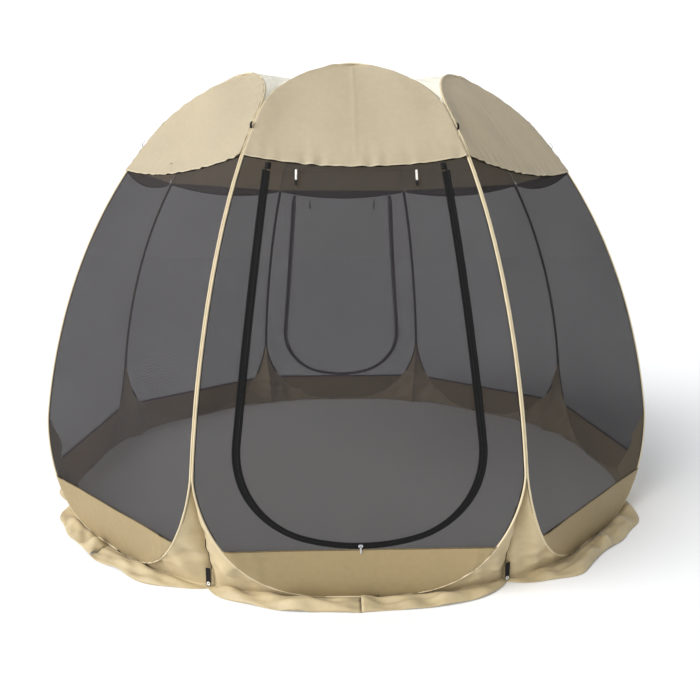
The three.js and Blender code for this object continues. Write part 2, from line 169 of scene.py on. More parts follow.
CAMERA_LENS = 33.31
CAMERA_PLACE = (-0.1355, -4.164, 1.5)
CAMERA_UP = math.radians(90 - 10.07)
CAMERA_TURN = math.radians(-2.114)
SKY_STRENGTH = 0.56
SKY_COLOUR = (0.96, 0.98, 1, 1)
BACKDROP_STRENGTH = 1.12  # as bright as the lit floor
KEY_STRENGTH = 3.9
KEY_ANGLE = math.radians(50)
KEY_TURN = (math.radians(25), math.radians(-53), 0)
FLOOR_SIZE = 80
FLOOR_Z = -0.0005

# ---- The wall's curve ----

BEZIER_T = np.linspace(0, 1, CURVE_STEPS)


def bezier(axis):
    a, b, c, d = (point[axis] for point in (FOOT, FOOT_HANDLE, HEAD_HANDLE, HEAD))
    t = BEZIER_T
    return (1 - t) ** 3 * a + 3 * t * (1 - t) ** 2 * b + 3 * t**2 * (1 - t) * c + t**3 * d


CURVE_OUT, CURVE_Z = bezier(0), bezier(1)
CURVE_S = np.concatenate([[0], np.cumsum(np.hypot(np.diff(CURVE_OUT), np.diff(CURVE_Z)))])
CURVE_LEAN = np.gradient(CURVE_OUT, CURVE_S)
CURVE_CLIMB = np.gradient(CURVE_Z, CURVE_S)
PANEL_L = CURVE_S[-1]


def out_at(s):
    return np.interp(s, CURVE_S, CURVE_OUT)


def height_at(s):
    return np.interp(s, CURVE_S, CURVE_Z)


def length_at(z):
    return np.interp(z, CURVE_Z, CURVE_S)


LOWER_SPLIT = length_at(LOWER_SPLIT_Z)
UPPER_SPLIT = length_at(UPPER_SPLIT_Z)
HEM_S = length_at(HEM_Z)


def on_panel(angle, u, s, d):
    """Points in space for places on the panel that faces a direction."""
    out = out_at(s) + d * np.interp(s, CURVE_S, CURVE_CLIMB)
    z = height_at(s) - d * np.interp(s, CURVE_S, CURVE_LEAN)
    x = out * math.sin(angle) + u * math.cos(angle)
    y = u * math.sin(angle) - out * math.cos(angle)
    return np.stack(np.broadcast_arrays(x, y, z), axis=-1)


def at_polar(direction, r, z):
    """Points in space at a distance from the middle, in directions turned from the front."""
    return np.stack(np.broadcast_arrays(r * np.sin(direction), -r * np.cos(direction), z), axis=-1)


# ---- Lines on a panel: places u and s, and the direction to the left of the line, inwards on a hoop ----


def half_width(s):
    """Half a hoop's width at a length up its panel."""
    foot = np.clip((LOWER_SPLIT - s) / LOWER_SPLIT, 0, 1)
    head = np.clip((s - UPPER_SPLIT) / (PANEL_L - UPPER_SPLIT), 0, 1)
    foot_share = (1 - foot**FOOT_RISE) ** (1 / FOOT_WIDTH)
    head_share = (1 - head**HEAD_RISE) ** (1 / HEAD_WIDTH)
    return out_at(s) * math.tan(SEAM_ANGLE) * foot_share * head_share


def edge_length(lengths, off_middle):
    """How far up a panel, within these lengths, its hoop lies in directions off the panel's middle."""
    return np.interp(np.tan(off_middle), (half_width(lengths) + HUG) / out_at(lengths), lengths)


def line(u, s, steps, closed=False):
    """Even steps along a line through these places."""
    lengths = np.concatenate([[0], np.cumsum(np.hypot(np.diff(u), np.diff(s)))])
    at = np.linspace(0, lengths[-1], steps, endpoint=not closed)
    u, s = np.interp(at, lengths, u), np.interp(at, lengths, s)
    if closed:
        du, ds = (np.roll(v, -1) - np.roll(v, 1) for v in (u, s))
    else:
        du, ds = np.gradient(u), np.gradient(s)
    size = np.hypot(du, ds)
    return u, s, -ds / size, du / size


def hoop_line(steps):
    """The middle of a hoop's sleeve, all the way round from the middle of its foot."""
    turn = np.linspace(0, math.tau, 2 * LINE_STEPS + 1)
    s = PANEL_L / 2 * (1 - np.cos(turn))
    u = np.sign(np.sin(turn)) * half_width(s)
    u[[0, -1]] = 0
    u, s, inward_u, inward_s = line(u, s, LINE_STEPS, closed=True)
    u, s = u + inward_u * SLEEVE_LINE, s + inward_s * SLEEVE_LINE
    return line(np.append(u, u[0]), np.append(s, s[0]), steps, closed=True)


HOOP_U, HOOP_S, _, _ = hoop_line(LINE_STEPS)
RIGHT = slice(0, 1 + int(np.argmax(HOOP_S)))


def reach(s):
    """Half the width between the middles of a hoop's sleeve at a length up its panel."""
    return np.interp(s, HOOP_S[RIGHT], HOOP_U[RIGHT])


def hoop_edge(s_from, s_to, steps, hand):
    """One side of a hoop's sleeve line between two lengths up the panel: hand 1 is right and -1 left."""
    s = np.linspace(s_from, s_to, steps)[::hand]
    return line(hand * reach(s), s, steps)


def hem_s(u):
    """The length up the panel of the canopy's sagging edge."""
    return length_at(HEM_Z + HEM_RISE * (u / HEM_HALF) ** 2)


def door_line(steps):
    """The zip's line from the top left of the door round to the top right."""
    arc_z = DOOR_BOTTOM_Z + BOTTOM_ARC_R
    centre_u = (BOTTOM_ARC_R - CORNER_R) * math.sin(BOTTOM_ARC_HALF)
    centre_z = arc_z - (BOTTOM_ARC_R - CORNER_R) * math.cos(BOTTOM_ARC_HALF)
    corner = np.linspace(-SIDE_LEAN, math.pi / 2 - BOTTOM_ARC_HALF, 60)
    bottom = np.linspace(-BOTTOM_ARC_HALF, BOTTOM_ARC_HALF, 60)
    corner_u = centre_u + CORNER_R * np.cos(corner)
    corner_z = centre_z - CORNER_R * np.sin(corner)
    side_z = np.linspace(HINGE_Z, corner_z[0], 60)
    side_u = corner_u[0] - (side_z - corner_z[0]) * math.tan(SIDE_LEAN)
    u = np.concatenate([-side_u, -corner_u, BOTTOM_ARC_R * np.sin(bottom), corner_u[::-1], side_u[::-1]])
    bottom_z = arc_z - BOTTOM_ARC_R * np.cos(bottom)
    z = np.concatenate([side_z, corner_z, bottom_z, corner_z[::-1], side_z[::-1]])
    return line(u, length_at(z), steps)


# ---- Unevenness of cloth ----


def ripples(x, y, wavelength, seed, waves=9):
    """Smooth, repeatable unevenness of about -1 to 1: sine waves of similar lengths in random directions."""
    draw = np.random.default_rng(seed)
    total = np.zeros(np.broadcast(x, y).shape)
    for _ in range(waves):
        turn, phase = draw.uniform(0, math.tau, 2)
        wave = math.tau / (wavelength * draw.uniform(0.7, 1.6))
        total += np.sin(wave * (x * math.cos(turn) + y * math.sin(turn)) + phase)
    return total * math.sqrt(2 / waves) / 1.6


def smooth(share):
    share = np.clip(share, 0, 1)
    return share * share * (3 - 2 * share)


def canopy_relief(seed):
    """How far out the roof cloth lies: drawn in between the hoops, puckered at hem and seams."""

    def relief(u, s):
        rise = s - hem_s(u)
        edge = reach(s) - np.abs(u)
        share = u / np.maximum(reach(s), 0.02)
        bow = -CANOPY_BOW * smooth(rise / 0.3) * np.clip(1 - share**2, 0, 1)
        slow = CANOPY_WAVE_H * ripples(u, s, CANOPY_WAVE_L, seed) * smooth(edge / 0.12) * smooth(rise / 0.15)
        puckers = HEM_PUCKER_H * (1 + ripples(u, 0.15 * s, HEM_PUCKER_L, seed + 1))
        puckers *= np.exp(-rise / HEM_PUCKER_FADE)
        gathers = SEAM_GATHER_H * (1 + ripples(0.3 * u, s, SEAM_GATHER_L, seed + 2))
        gathers *= np.exp(-edge / SEAM_GATHER_FADE)
        crease = MIDDLE_CREASE_H * np.exp(-((u / MIDDLE_CREASE_HALF) ** 2)) * smooth(rise / 0.05)
        return CANOPY_D + bow + slow + puckers + gathers + crease

    return relief


def band_relief(seed):
    """How far out the bottom band lies, with upright folds towards its ends."""

    def relief(u, s):
        edge = reach(s) - np.abs(u)
        ends = smooth((np.abs(u) - 0.30) / 0.3)
        folds = BAND_FOLD_H * ends * (1 + ripples(u, 0.2 * s, BAND_FOLD_L, seed)) * smooth(edge / 0.02)
        gathers = BAND_GATHER_H * (1 + ripples(u, s, BAND_GATHER_L, seed + 1))
        gathers *= np.exp(-edge / BAND_GATHER_FADE)
        slow = BAND_WAVE_H * (1 + ripples(u, s, BAND_WAVE_L, seed + 2))
        return BAND_D + folds + gathers + slow * smooth(edge / 0.05)

    return relief


def net_relief(u, s, seed):
    """How far out netting lies: it is stretched nearly flat."""
    return NET_WAVE_H * ripples(u, s, NET_WAVE_L, seed)


# ---- Shells: vertices, faces of four corners, and a place in metres on the cloth for each corner ----


def run_lengths(points, axis, wrap):
    """The distance to each row or column from the first, averaged over the others."""
    steps = np.linalg.norm(np.roll(points, -1, axis=axis) - points, axis=-1).mean(axis=1 - axis)
    return np.concatenate([[0], np.cumsum(steps if wrap else steps[:-1])])


def grid(points, wrap_rows=False, wrap_columns=False):
    """A sheet or tube through rows and columns of points."""
    rows, columns = points.shape[:2]
    row = np.arange(rows if wrap_rows else rows - 1)
    column = np.arange(columns if wrap_columns else columns - 1)
    row, column = np.meshgrid(row, column, indexing="ij")
    row = np.stack([row, row, row + 1, row + 1], axis=-1).reshape(-1, 4)
    column = np.stack([column, column + 1, column + 1, column], axis=-1).reshape(-1, 4)
    faces = (row % rows) * columns + column % columns
    across = run_lengths(points, 1, wrap_columns)
    along = run_lengths(points, 0, wrap_rows)
    places = np.stack([across[column], along[row]], axis=-1)
    return points.reshape(-1, 3), faces, places.reshape(-1, 2)


BLOCK_CORNERS = np.array([[x, y, z] for x in (-0.5, 0.5) for y in (-0.5, 0.5) for z in (-0.5, 0.5)])
BLOCK_FACES = np.array([[0, 1, 3, 2], [4, 6, 7, 5], [0, 4, 5, 1], [2, 3, 7, 6], [0, 2, 6, 4], [1, 5, 7, 3]])


def blocks(centres, axes, size):
    """A small block at each centre. axes holds each block's three directions."""
    corners = (BLOCK_CORNERS * size) @ axes + centres[:, None, :]
    faces = BLOCK_FACES + 8 * np.arange(len(centres))[:, None, None]
    faces = faces.reshape(-1, 4)
    return corners.reshape(-1, 3), faces, np.zeros((faces.size, 2))


def joined(shells):
    vertices, faces, places, first = [], [], [], 0
    for shell_vertices, shell_faces, shell_places in shells:
        vertices.append(shell_vertices)
        faces.append(shell_faces + first)
        places.append(shell_places)
        first += len(shell_vertices)
    return np.concatenate(vertices), np.concatenate(faces), np.concatenate(places)


def ride(piece, body, material):
    piece.data.materials.append(material)
    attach(piece, body)
    return piece


def add_piece(name, shells, body, material, thickness=0, replaced=()):
    """A piece of cloth, tape or trim that rides on a body. With a thickness, its sheets are made solid."""
    vertices, faces, places = joined(shells)
    mesh = bpy.data.meshes.new(name)
    mesh.from_pydata(vertices.tolist(), [], faces.tolist())
    mesh.uv_layers.new(name="UVMap").data.foreach_set("uv", places.astype(np.float32).ravel())
    mesh.shade_smooth()
    piece = bpy.data.objects.new(name, mesh)
    bpy.context.collection.objects.link(piece)
    if thickness:
        solid = piece.modifiers.new("thickness", "SOLIDIFY")
        solid.thickness = thickness
        solid.offset = 0
    ride(piece, body, material)
    if replaced:
        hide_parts(*replaced)
    return piece


def strip(angle, path, profile, relief=None):
    """A tape along a line. profile holds each edge's distance in from the line and out from the panel."""
    u, s, inward_u, inward_s = (v[:, None] for v in path)
    inward, d = np.array(profile).T
    u, s = u + inward_u * inward, s + inward_s * inward
    return grid(on_panel(angle, u, s, d + (relief(u, s) if relief else 0)))


def tube(angle, path, radius, d, facets=14, closed=True):
    """A tube along a line. Its radius is one number for each step."""
    u, s, inward_u, inward_s = (v[:, None] for v in path)
    turn = np.linspace(0, math.tau, facets, endpoint=False)
    inward = np.asarray(radius)[:, None] * np.cos(turn)
    lift = np.asarray(radius)[:, None] * np.sin(turn)
    points = on_panel(angle, u + inward_u * inward, s + inward_s * inward, d + lift)
    return grid(points, wrap_rows=closed, wrap_columns=True)


def line_axes(angle, path, d):
    """Along, across and out: three directions for each place on a line."""
    u, s, inward_u, inward_s = path
    place = on_panel(angle, u, s, d)
    along = on_panel(angle, u + inward_s * NUDGE, s - inward_u * NUDGE, d) - place
    across = on_panel(angle, u + inward_u * NUDGE, s + inward_s * NUDGE, d) - place
    along /= np.linalg.norm(along, axis=-1, keepdims=True)
    across /= np.linalg.norm(across, axis=-1, keepdims=True)
    return np.stack([along, across, np.cross(along, across)], axis=1)


def stitches(angle, path, relief):
    """Stitches along a line, a little in from it."""
    u, s, inward_u, inward_s = path
    count = int(np.sum(np.hypot(np.diff(u), np.diff(s))) / STITCH_PITCH)
    path = line(u + inward_u * STITCH_IN, s + inward_s * STITCH_IN, count)
    lift = STITCH_D + relief(*path[:2])
    size = (0.62 * STITCH_PITCH, 0.0011, 0.0008)
    return blocks(on_panel(angle, *path[:2], lift), line_axes(angle, path, lift), size)


# ---- Materials ----


def linear(red, green, blue):
    """An sRGB colour of 0 to 255 as the linear values that a shader takes."""
    return tuple(((v / 255 + 0.055) / 1.055) ** 2.4 for v in (red, green, blue)) + (1,)


class Paint:
    """A material's nodes, with short ways to add to them."""

    def __init__(self, name, **sockets):
        self.material = bpy.data.materials.new(name)
        self.material.use_nodes = True
        self.tree = self.material.node_tree
        self.shader = self.tree.nodes["Principled BSDF"]
        for socket, value in sockets.items():
            self.shader.inputs[socket.replace("_", " ")].default_value = value
        self.coordinates = self.node("ShaderNodeTexCoord")

    def node(self, kind, settings=None, **inputs):
        made = self.tree.nodes.new(kind)
        for setting, value in (settings or {}).items():
            setattr(made, setting, value)
        for socket, value in inputs.items():
            self.put(made.inputs[socket.replace("_", " ")], value)
        return made

    def put(self, socket, value):
        if isinstance(value, bpy.types.NodeSocket):
            self.tree.links.new(value, socket)
        else:
            socket.default_value = value

    def math(self, operation, first, second=0.0):
        made = self.node("ShaderNodeMath", {"operation": operation})
        self.put(made.inputs[0], first)
        self.put(made.inputs[1], second)
        return made.outputs[0]

    def noise(self, scale, detail=3):
        place = self.coordinates.outputs["Object"]
        return self.node("ShaderNodeTexNoise", Vector=place, Scale=scale, Detail=detail).outputs["Fac"]

    def between(self, value, low, high, to_low=0.0, to_high=1.0):
        inputs = {"Value": value, "From_Min": low, "From_Max": high, "To_Min": to_low, "To_Max": to_high}
        return self.node("ShaderNodeMapRange", **inputs).outputs[0]

    def mix(self, share, first, second):
        made = self.node("ShaderNodeMix", {"data_type": "RGBA"})
        self.put(made.inputs[0], share)
        self.put(made.inputs[6], first)
        self.put(made.inputs[7], second)
        return made.outputs[2]

    def thread(self, axis, pitch):
        """Threads side by side: 0 between two of them and 1 on top of one. axis is X, across, or Y, along."""
        apart = self.node("ShaderNodeSeparateXYZ", Vector=self.coordinates.outputs["UV"])
        turns = self.math("MULTIPLY", apart.outputs[axis], math.pi / pitch)
        return self.math("ABSOLUTE", self.math("SINE", turns))

    def bump(self, height, distance, strength=1.0):
        made = self.node("ShaderNodeBump", Height=height, Distance=distance, Strength=strength)
        self.put(self.shader.inputs["Normal"], made.outputs[0])

    def show(self, colour=None, roughness=None, alpha=None):
        for socket, value in (("Base Color", colour), ("Roughness", roughness), ("Alpha", alpha)):
            if value is not None:
                self.put(self.shader.inputs[socket], value)
        return self.material


def shade(colour, factor):
    return tuple(v * factor for v in colour[:3]) + (1,)


def cloth(name, colour, variation=0.10, pitch=0.0012, see_through=0.0, soil=0.0, shine=0.35):
    """Coated polyester: a plain weave, slow shifts of colour, faint crush marks and soil by the ground."""
    paint = Paint(name, Sheen_Weight=0.12, Sheen_Roughness=0.5, Specular_IOR_Level=shine)
    weave = paint.math("MULTIPLY", paint.thread("X", pitch), paint.thread("Y", pitch))
    slow = paint.between(paint.noise(1.7, 3), 0.3, 0.7)
    fine = paint.between(paint.noise(38, 5), 0.3, 0.7)
    blotch = paint.math("ADD", paint.math("MULTIPLY", slow, 0.65), paint.math("MULTIPLY", fine, 0.35))
    tone = paint.mix(blotch, shade(colour, 1 - variation), shade(colour, 1 + variation / 2))
    tone = paint.mix(paint.between(weave, 0, 1, 0.10, 0), tone, shade(colour, 0.55))
    if soil:
        place = paint.node("ShaderNodeSeparateXYZ", Vector=paint.coordinates.outputs["Object"])
        low = paint.between(place.outputs["Z"], 0.10, 0, 0, soil)
        patchy = paint.math("MULTIPLY", low, paint.between(paint.noise(9, 5), 0.35, 0.65))
        tone = paint.mix(patchy, tone, shade(colour, 0.45))
    crushed = paint.math("ADD", paint.math("MULTIPLY", weave, 0.15), paint.noise(26, 4))
    paint.bump(crushed, 0.0012, 0.35)
    rough = paint.between(paint.noise(12, 3), 0.3, 0.7, 0.60 - 0.3 * shine, 0.74 - 0.3 * shine)
    material = paint.show(tone, rough)
    if see_through:
        glow = paint.node("ShaderNodeBsdfTranslucent", Color=tone)
        both = paint.node("ShaderNodeMixShader")
        both.inputs[0].default_value = see_through
        paint.put(both.inputs[1], paint.shader.outputs[0])
        paint.put(both.inputs[2], glow.outputs[0])
        paint.put(paint.tree.nodes["Material Output"].inputs["Surface"], both.outputs[0])
    return material


def net_cloth():
    """Fine dark mosquito net: its two faces together let roughly 30 % of the light through."""
    paint = Paint("netting", Specular_IOR_Level=0.2)
    threads = paint.math("MAXIMUM", paint.thread("X", 0.0016), paint.thread("Y", 0.0020))
    cover = paint.between(threads, 0.55, 1.0, 0.40, 0.54)
    cloudy = paint.between(paint.noise(1.3, 2), 0.3, 0.7, -0.015, 0.015)
    tone = paint.mix(paint.noise(2.2, 3), linear(43, 40, 43), linear(52, 49, 52))
    paint.bump(threads, 0.0003, 0.3)
    return paint.show(tone, 0.75, paint.math("ADD", cover, cloudy))


def tape(name, colour, pitch=0.0016, roughness=0.7):
    """Woven tape or webbing, ribbed across, with its edges a little worn."""
    paint = Paint(name, Sheen_Weight=0.05, Specular_IOR_Level=0.15)
    ribs = paint.thread("Y", pitch)
    worn = paint.between(paint.noise(45, 4), 0.35, 0.75)
    tone = paint.mix(worn, shade(colour, 0.8), shade(colour, 1.35))
    tone = paint.mix(paint.between(ribs, 0, 1, 0.35, 0), tone, shade(colour, 0.4))
    paint.bump(ribs, 0.0004, 0.6)
    return paint.show(tone, paint.between(worn, 0, 1, roughness - 0.1, roughness + 0.1))


def moulded(name, colour, roughness):
    """Moulded plastic with a fine grain and light scuffs."""
    paint = Paint(name, Specular_IOR_Level=0.25)
    scuffs = paint.between(paint.noise(160, 6), 0.55, 0.72)
    tone = paint.mix(scuffs, colour, shade(colour, 1.9))
    paint.bump(paint.noise(900, 2), 0.0001, 0.4)
    return paint.show(tone, paint.between(scuffs, 0, 1, roughness, roughness + 0.2))


def metal():
    """Nickel-plated zinc with rubbed spots."""
    paint = Paint("zip_metal", Metallic=1.0)
    rubbed = paint.between(paint.noise(240, 5), 0.35, 0.7)
    tone = paint.mix(rubbed, linear(176, 178, 182), linear(222, 222, 224))
    paint.bump(paint.noise(700, 2), 0.00008, 0.4)
    return paint.show(tone, paint.between(rubbed, 0, 1, 0.24, 0.42))


CANOPY = cloth("canopy_cloth", linear(214, 201, 173), see_through=0.45)
# Painted light: the crown's cream is lightened nearly to white to stand in for the sun falling on the roof's
# top.
CROWN = cloth("crown_cloth", linear(246, 243, 230), see_through=0.3)
# Painted shade: the band's tan is made darker than the canopy's to stand in for the shade on the low, upright
# band under light from above.
BAND = cloth("band_cloth", linear(182, 162, 121), variation=0.12, see_through=0.35, soil=0.2)
SKIRT = cloth("skirt_cloth", linear(190, 172, 134), variation=0.14, soil=0.35, shine=0.5)
SLEEVE = cloth("sleeve_cloth", linear(204, 189, 156), variation=0.08, pitch=0.0009, soil=0.2)
HEM = cloth("hem_cloth", linear(211, 198, 170), variation=0.12, see_through=0.3)
TRIM = tape("band_trim", linear(112, 96, 66))
NET = net_cloth()
ZIP = tape("zip_tape", linear(13, 13, 13))
COIL = moulded("zip_coil", linear(10, 10, 11), 0.38)
# Dark binding tape; where it lies beside the sleeves it is also painted shade.
BINDING = tape("binding_tape_and_painted_shade", linear(40, 37, 32))
WEBBING = tape("black_webbing", linear(22, 21, 22), pitch=0.0022)
ELASTIC = tape("pale_elastic", linear(232, 229, 220))
THREAD = moulded("thread", linear(190, 176, 146), 0.7)
TOGGLE = moulded("toggle_plastic", linear(22, 20, 20), 0.42)
RING = moulded("ring_plastic", linear(226, 226, 222), 0.35)
METAL = metal()

# ---- Hoops in their sleeves ----


def add_hoop(index, side, angle):
    """The gathered sleeve round the sprung wire."""
    steps = 420
    turn = np.arange(steps) / steps * math.tau
    mean_r = HOOP_ROUND / math.tau
    gathers = ripples(mean_r * np.cos(turn), mean_r * np.sin(turn), SLEEVE_GATHER_L, 40 + index)
    shells = [tube(angle, hoop_line(steps), SLEEVE_R * (1 + SLEEVE_GATHER * gathers), 0)]
    return add_piece(f"{side}_sleeve", shells, "tent", SLEEVE, replaced=[f"{side}_hoop"])


def add_sleeve_flaps():
    """Where each wire goes into its sleeve: a loose flap over the join, held by a dark tab."""
    steps = 900
    u, s, inward_u, inward_s = hoop_line(steps)
    middle = np.roll(np.arange(steps), steps // 2)
    flap = middle[steps // 2 - 20 : steps // 2 + 8]
    bulge = np.sin(np.linspace(0, math.pi, len(flap))) ** 0.6
    tab = np.arange(8, 12)
    flaps, tabs = [], []
    for index in range(len(SIDES)):
        angle = index * SIDE_ANGLE
        path = [v[flap] for v in (u, s, inward_u, inward_s)]
        flaps.append(tube(angle, path, SLEEVE_R * (0.7 + 0.75 * bulge), 0.0028, closed=False))
        end = [v[tab] for v in (u, s, inward_u, inward_s)]
        tabs.append(tube(angle, end, np.full(len(tab), SLEEVE_R * 1.25), 0.0008, closed=False))
    add_piece("sleeve_flaps", flaps, "tent", SLEEVE)
    add_piece("sleeve_end_tabs", tabs, "tent", WEBBING)


# ---- Roof cloth, bands and netting ----


def canopy_places():
    """Rows and columns of places on the roof cloth, from its sagging hem to the hoop's head."""
    share = np.sin(np.linspace(0, math.pi / 2, 64))[:, None]
    x = np.linspace(-1, 1, 97)[None, :]
    top = HOOP_S.max() - 0.001
    s = HEM_S + (top - HEM_S) * share + 0 * x
    s = s + (hem_s(x * reach(s)) - HEM_S) * (1 - share)
    return x * reach(s), s


def add_canopy(index, side, angle):
    u, s = canopy_places()
    relief = canopy_relief(100 + 10 * index)
    points = on_panel(angle, u, s, relief(u, s))
    name = f"{side}_canopy"
    canopy = add_piece(
        name, [grid(points)], "tent", CANOPY, CLOTH_T, [f"{side}_canopy_panel"]
    )
    hem_u = np.linspace(-0.995, 0.995, 120) * reach(hem_s(HEM_HALF))
    path = line(hem_u, hem_s(hem_u), 120)
    profile = [(-0.001, 0.0002), (0.0005, 0.0010), (0.005, 0.0009), (0.0105, 0.0010), (0.012, 0.0003)]
    hem = add_piece(
        f"{side}_canopy_hem", [strip(angle, path, profile, relief)], "tent", HEM, HEM_T
    )
    return relief, path


def add_band(index, side, angle):
    share = (1 - np.cos(np.linspace(0, math.pi / 2, 40)))[:, None]
    x = np.linspace(-1, 1, 121)[None, :]
    bottom = HOOP_S.min() + 0.0005
    s = bottom + (length_at(BAND_TOP_Z) - bottom) * share + 0 * x
    u = x * reach(s)
    relief = band_relief(300 + 10 * index)
    points = on_panel(angle, u, s, relief(u, s))
    band = add_piece(
        f"{side}_band", [grid(points)], "tent", BAND, CLOTH_T, [f"{side}_bottom_band"]
    )
    top_u = np.linspace(-1, 1, 90) * (u.max() - 0.012)
    path = line(top_u, np.full(90, length_at(BAND_TOP_Z)), 90)
    profile = [(-0.0045, 0.0006), (-0.002, 0.0012), (0.0005, 0.0006)]
    trim = add_piece(
        f"{side}_band_trim", [strip(angle, path, profile, relief)], "tent", TRIM, TRIM_T
    )


def add_netting(name, index, angle, s, replaced=()):
    """A sheet of netting right across a hoop, in rows at lengths up its panel."""
    u = np.linspace(-1, 1, 41)[None, :] * reach(s)
    s = s + 0 * u
    points = on_panel(angle, u, s, net_relief(u, s, 500 + index))
    netting = add_piece(name, [grid(points)], "tent", NET, NET_T, replaced)


def add_plain_wall(index, side, angle):
    s = np.linspace(length_at(BAND_TOP_Z - BAND_LAP), length_at(HEM_Z + CANOPY_LAP), 48)[:, None]
    add_netting(f"{side}_netting", index, angle, s, [f"{side}_mesh_wall"])


def add_wall_strip(index, side, angle, hand, word):
    """The netting down one side of a door and under it to the middle."""
    zip_u, zip_s, _, _ = door_line(DOOR_STEPS)
    to_middle = DOOR_STEPS // 2 + 1
    down_steps = 118
    bottom_s = length_at(BAND_TOP_Z - BAND_LAP)
    inner_u, inner_s = hand * np.abs(zip_u[:to_middle]), zip_s[:to_middle]
    down_s = np.linspace(length_at(HINGE_Z), bottom_s, down_steps)
    along_u = np.linspace(reach(bottom_s), 0, to_middle + 1 - down_steps)[1:]
    outer_u = hand * np.concatenate([reach(down_s), along_u])
    outer_s = np.concatenate([down_s, np.full(len(along_u), bottom_s)])
    share = np.linspace(0, 1, 9)[:, None]
    u = outer_u * (1 - share) + inner_u * share
    s = outer_s * (1 - share) + inner_s * share
    if hand > 0:
        u, s = u[:, ::-1], s[:, ::-1]
    replaced = [f"{side}_mesh_wall"] if hand < 0 else []
    points = on_panel(angle, u, s, net_relief(u, s, 500 + index))
    wall = add_piece(f"{side}_netting_{word}", [grid(points)], "tent", NET, NET_T, replaced)


def add_door_wall(index, side, angle):
    """The netting round a door: a strip down each side and under it, and one above it."""
    for hand, word in ((-1, "left"), (1, "right")):
        add_wall_strip(index, side, angle, hand, word)
    s = np.linspace(length_at(HINGE_Z), length_at(HEM_Z + CANOPY_LAP), 8)[:, None]
    add_netting(f"{side}_netting_header", index, angle, s)


def add_inner_tapes():
    """Dark tape sewn inside: behind each sleeve up the wall, and along the band's and the canopy's edges. The
    strips beside the sleeves are dark binding and also painted shade: they stand in for the shadow between
    sleeve and netting and for the shade on the sleeves seen from inside.
    """
    # Painted shade: the dark strips beside each sleeve also stand in for the shadow between the sleeve and
    # the netting.
    beside_sleeve_painted_shade = [(-0.0055, -0.0040), (0.0, -0.0062), (0.0045, -0.0045), (0.0075, -0.0020)]
    above_hem = [(0.001, -0.0020), (0.007, -0.0020)]
    under_band_top = [(-0.010, -0.0020), (-0.004, -0.0020)]
    x = np.linspace(-0.97, 0.97, 60)
    hem_u = x * reach(HEM_S)
    band_s = length_at(BAND_TOP_Z)
    band_path = line(x * reach(band_s), np.full(len(x), band_s), len(x))
    shells = []
    for index in range(len(SIDES)):
        angle = index * SIDE_ANGLE
        for hand in (-1, 1):
            path = hoop_edge(length_at(LOWER_SPLIT_Z / 2), hem_s(reach(HEM_S)), 100, hand)
            shells.append(strip(angle, path, beside_sleeve_painted_shade))
        shells.append(strip(angle, line(hem_u, hem_s(hem_u), len(x)), above_hem))
        shells.append(strip(angle, band_path, under_band_top))
    add_piece("inner_tapes_and_painted_shade", shells, "tent", BINDING, TAPE_T)


# ---- Doors ----


def guard_strip(angle, path):
    """The doubled tape outside the zip, that narrows away towards the bottom of the door."""
    u, s, inward_u, inward_s = path
    shown = smooth((height_at(s) - DOOR_BOTTOM_Z - 0.02) / GUARD_TAPER)
    columns = [ZIP_TAPE_W - NUDGE + GUARD_W * shown * share for share in (0, 0.5, 1)]
    points = [on_panel(angle, u - inward_u * out, s - inward_s * out, TAPE_D + 0.0002) for out in columns]
    return grid(np.stack(points, axis=1))


def add_zip_half(side, angle, name, hand, body, ends):
    """One tape of a zip with its teeth. hand is 1 inside the line; ends steps are left off at each end."""
    path, fine = ([v[ends : len(v) - ends] for v in door_line(steps)] for steps in (1200, 981))
    shells = [strip(angle, path, [(hand * offset, TAPE_D) for offset in (0.0003, 0.004, 0.009, ZIP_TAPE_W)])]
    if name == "wall":
        shells.insert(0, guard_strip(angle, path))
    node = f"{side}_zip_{name}_tape"
    add_piece(f"{side}_zip_{name}_side", shells, body, ZIP, TAPE_T, [node])
    every_other = slice(0 if hand > 0 else 1, None, 2)
    u, s, inward_u, inward_s = (v[every_other] for v in fine)
    inward = hand * TOOTH_IN
    centres = on_panel(angle, u + inward_u * inward, s + inward_s * inward, TOOTH_D)
    axes = line_axes(angle, (u, s, inward_u, inward_s), TOOTH_D)
    teeth = blocks(centres, axes, TOOTH)
    add_piece(f"{side}_zip_{name}_teeth", [teeth], body, COIL)


def add_zip(side, angle, body):
    """Two tapes with their rows of teeth, one on the wall and one on the door, clear of the hinge line."""
    add_zip_half(side, angle, "wall", -1, "tent", 0)
    add_zip_half(side, angle, "door", 1, body, 2)


def add_leaf(index, side, angle, body):
    """The netting of the door inside its zip."""
    zip_u, zip_s, _, _ = door_line(2 * DOOR_STEPS - 1)
    edge_u, edge_s = zip_u[DOOR_STEPS - 1 :], zip_s[DOOR_STEPS - 1 :]
    share = (1 - np.cos(np.linspace(0, math.pi / 2, 72)))[:, None]
    top = length_at(HINGE_Z)
    bottom = edge_s.min() + 0.0008
    s = bottom + (top - bottom) * share
    half = np.interp(s, edge_s, edge_u) - 0.0005
    u = np.linspace(-1, 1, 41)[None, :] * half
    s = s + 0 * u
    points = on_panel(angle, u, s, net_relief(u, s, 600 + index))
    leaf = add_piece(
        f"{side}_door_netting", [grid(points)], body, NET, NET_T, [f"{side}_door_leaf"]
    )


def add_header_zip(side, angle):
    """The zip's last stretch, from the door's hinge line up under the canopy."""
    top_u = abs(door_line(DOOR_STEPS)[0][0])
    profile = [(-ZIP_TAPE_W, TAPE_D), (0, TAPE_D + 0.0006), (ZIP_TAPE_W, TAPE_D)]
    shells = []
    for hand in (-1, 1):
        s = np.linspace(length_at(HINGE_Z + HINGE_CLEAR), length_at(HEM_Z + 0.02), 6)[::hand]
        u = top_u - (height_at(s) - HINGE_Z) * math.tan(SIDE_LEAN)
        shells.append(strip(angle, line(hand * u, s, len(s)), profile))
    add_piece(f"{side}_zip_header", shells, "tent", ZIP, TAPE_T)


